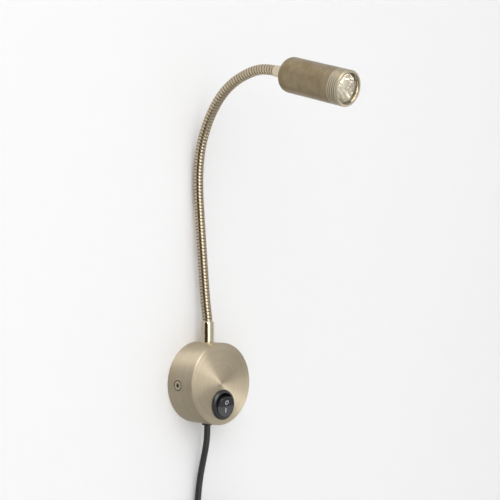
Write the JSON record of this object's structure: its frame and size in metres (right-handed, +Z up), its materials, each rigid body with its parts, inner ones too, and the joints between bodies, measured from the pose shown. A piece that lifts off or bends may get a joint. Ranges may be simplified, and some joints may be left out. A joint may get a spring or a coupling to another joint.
{
  "type": "bedside wall reading lamp",
  "caption": "Wall reading lamp: round turned base with rocker switch, ribbed gooseneck in an arch, small cylindrical spot head, corded with a flat plug.",
  "frame": {"origin": "centre of the round base's back face, on the wall, midway between the two wall-screw slots", "axes": "+Z up the wall, -Y out of the wall towards the room, +X to the right as seen from the room"},
  "size_m": [0.0846, 0.1611, 0.4824],
  "materials": {
    "satin_brass": "satin, turned and lacquered",
    "antique_brass": "antique brass plate, soft gloss",
    "polished_brass": "polished antique brass",
    "neck_steel": "steel strip wound and plated antique brass",
    "zinc_steel": "zinc plated",
    "screw_brass": "antique brass plate",
    "black_gloss": "moulded, glossy",
    "black_plastic": "moulded, matt",
    "contact_brass": "bright brass",
    "pin_brass": "nickel plated",
    "cord_pvc": "smooth PVC sheath",
    "plug_plastic": "moulded PVC",
    "sleeve_plastic": "moulded",
    "driver_white": "moulded",
    "foam_grey": "closed-cell foam",
    "block_white": "moulded",
    "lead_pvc": "PVC insulation",
    "lens_glass": "clear",
    "gasket_rubber": "silicone",
    "reflector_mirror": "vacuum plated",
    "board_white": "white solder mask",
    "emitter_yellow": "silicone dome over phosphor",
    "sink_aluminium": "turned"
  },
  "bodies": {
    "base": {"base_housing": "satin_brass", "wall_bracket": "zinc_steel", "side_screws": "screw_brass", "switch_body": "black_gloss", "switch_terminals": "contact_brass", "led_driver": "driver_white", "driver_pad": "foam_grey", "terminal_block": "block_white", "terminal_screws": "zinc_steel", "mains_cores": "lead_pvc", "switch_leads": "lead_pvc", "light_leads": "lead_pvc", "lower_ferrule": "polished_brass", "neck_washer": "zinc_steel", "neck_nut": "zinc_steel", "gooseneck_01": "neck_steel", "cord_gland": "plug_plastic", "cord_tail": "cord_pvc", "power_cord": "cord_pvc", "cord_coil": "cord_pvc", "coil_tie": "black_plastic", "plug_lead": "cord_pvc", "plug_body": "plug_plastic", "plug_pins": "pin_brass", "plug_sleeves": "sleeve_plastic"},
    "rocker": {"switch_rocker": "black_gloss", "switch_plunger": "black_plastic", "plunger_spring": "zinc_steel"},
    "contact_blade": {"switch_blade": "contact_brass"},
    "neck_02": {"gooseneck_02": "neck_steel"},
    "neck_03": {"gooseneck_03": "neck_steel"},
    "neck_04": {"gooseneck_04": "neck_steel"},
    "neck_05": {"gooseneck_05": "neck_steel"},
    "neck_06": {"gooseneck_06": "neck_steel"},
    "neck_07": {"gooseneck_07": "neck_steel"},
    "neck_08": {"gooseneck_08": "neck_steel"},
    "neck_09": {"gooseneck_09": "neck_steel"},
    "neck_10": {"gooseneck_10": "neck_steel"},
    "neck_11": {"gooseneck_11": "neck_steel"},
    "neck_12": {"gooseneck_12": "neck_steel"},
    "neck_13": {"gooseneck_13": "neck_steel"},
    "neck_14": {"gooseneck_14": "neck_steel"},
    "neck_15": {"gooseneck_15": "neck_steel"},
    "neck_16": {"gooseneck_16": "neck_steel"},
    "neck_17": {"gooseneck_17": "neck_steel"},
    "neck_18": {"gooseneck_18": "neck_steel"},
    "neck_19": {"gooseneck_19": "neck_steel"},
    "head": {"gooseneck_20": "neck_steel", "upper_ferrule": "polished_brass", "head_nut": "zinc_steel", "head_leads": "lead_pvc", "head_barrel": "antique_brass", "head_bezel": "antique_brass", "front_lens": "lens_glass", "lens_gasket": "gasket_rubber", "reflector": "reflector_mirror", "led_board": "board_white", "board_screws": "zinc_steel", "led_emitter": "emitter_yellow", "heat_sink": "sink_aluminium"}
  },
  "joints": [
    {"name": "neck_01_tilt", "type": "hinge", "parent": "base", "child": "neck_02", "pos_m": [-0.00024, -0.01073, 0.0549], "axis": [0.9984, 0.0068, 0.0557], "range_deg": [0, 14]},
    {"name": "neck_02_swing", "type": "hinge", "parent": "neck_02", "child": "neck_03", "pos_m": [-0.00068, -0.00937, 0.06766], "axis": [0, 0.9962, -0.0873], "range_deg": [-14, 14]},
    {"name": "neck_03_tilt", "type": "hinge", "parent": "neck_03", "child": "neck_04", "pos_m": [-0.00115, -0.00849, 0.08047], "axis": [0.999, 0.0024, 0.0448], "range_deg": [0, 14]},
    {"name": "neck_04_swing", "type": "hinge", "parent": "neck_04", "child": "neck_05", "pos_m": [-0.00177, -0.0079, 0.09329], "axis": [0, 0.9991, -0.042], "range_deg": [-14, 14]},
    {"name": "neck_05_tilt", "type": "hinge", "parent": "neck_05", "child": "neck_06", "pos_m": [-0.00237, -0.00733, 0.10611], "axis": [0.9991, 0.0021, 0.0427], "range_deg": [0, 14]},
    {"name": "neck_06_swing", "type": "hinge", "parent": "neck_06", "child": "neck_07", "pos_m": [-0.00288, -0.00668, 0.11893], "axis": [0, 0.9987, -0.0518], "range_deg": [-14, 14]},
    {"name": "neck_07_tilt", "type": "hinge", "parent": "neck_07", "child": "neck_08", "pos_m": [-0.00333, -0.00602, 0.13175], "axis": [0.9994, 0.0017, 0.0332], "range_deg": [0, 14]},
    {"name": "neck_08_swing", "type": "hinge", "parent": "neck_08", "child": "neck_09", "pos_m": [-0.00372, -0.00542, 0.14457], "axis": [0, 0.9993, -0.0371], "range_deg": [-14, 14]},
    {"name": "neck_09_tilt", "type": "hinge", "parent": "neck_09", "child": "neck_10", "pos_m": [-0.00399, -0.00519, 0.15741], "axis": [0.9999, -0.0001, 0.0128], "range_deg": [0, 14]},
    {"name": "neck_10_swing", "type": "hinge", "parent": "neck_10", "child": "neck_11", "pos_m": [-0.00405, -0.00578, 0.17024], "axis": [0, 0.9959, 0.0906], "range_deg": [-14, 14]},
    {"name": "neck_11_tilt", "type": "hinge", "parent": "neck_11", "child": "neck_12", "pos_m": [-0.00401, -0.00773, 0.18293], "axis": [1, 0.0009, -0.0038], "range_deg": [-14, 14]},
    {"name": "neck_12_swing", "type": "hinge", "parent": "neck_12", "child": "neck_13", "pos_m": [-0.00398, -0.01156, 0.19518], "axis": [0, 0.9277, 0.3732], "range_deg": [-14, 14]},
    {"name": "neck_13_tilt", "type": "hinge", "parent": "neck_13", "child": "neck_14", "pos_m": [-0.00399, -0.01725, 0.20668], "axis": [1, -0.0006, 0.001], "range_deg": [-14, 14]},
    {"name": "neck_14_swing", "type": "hinge", "parent": "neck_14", "child": "neck_15", "pos_m": [-0.004, -0.02463, 0.21718], "axis": [0, 0.7692, 0.639], "range_deg": [-14, 14]},
    {"name": "neck_15_tilt", "type": "hinge", "parent": "neck_15", "child": "neck_16", "pos_m": [-0.004, -0.03372, 0.22623], "axis": [1, 0.0002, -0.0002], "range_deg": [-14, 14]},
    {"name": "neck_16_swing", "type": "hinge", "parent": "neck_16", "child": "neck_17", "pos_m": [-0.004, -0.04455, 0.23309], "axis": [0, 0.4329, 0.9015], "range_deg": [-14, 14]},
    {"name": "neck_17_tilt", "type": "hinge", "parent": "neck_17", "child": "neck_18", "pos_m": [-0.004, -0.05659, 0.23752], "axis": [1, -0.0001, 0], "range_deg": [-14, 14]},
    {"name": "neck_18_swing", "type": "hinge", "parent": "neck_18", "child": "neck_19", "pos_m": [-0.004, -0.0692, 0.23988], "axis": [0, 0.0779, 0.997], "range_deg": [-14, 14]},
    {"name": "neck_19_tilt", "type": "hinge", "parent": "neck_19", "child": "head", "pos_m": [-0.004, -0.08196, 0.23893], "axis": [1, 0, 0], "range_deg": [-14, 14]},
    {"name": "rocker_tilt", "type": "hinge", "parent": "base", "child": "rocker", "pos_m": [0.0016, -0.0247, -0.0163], "axis": [1, 0, 0], "range_deg": [-22, 0]},
    {"name": "contact_tilt", "type": "hinge", "parent": "base", "child": "contact_blade", "pos_m": [0.0016, -0.0181, -0.0163], "axis": [1, 0, 0], "range_deg": [0, 12]}
  ],
  "couplings": [
    {"joint": "contact_tilt", "follows": "rocker_tilt", "ratio": -0.5454}
  ]
}
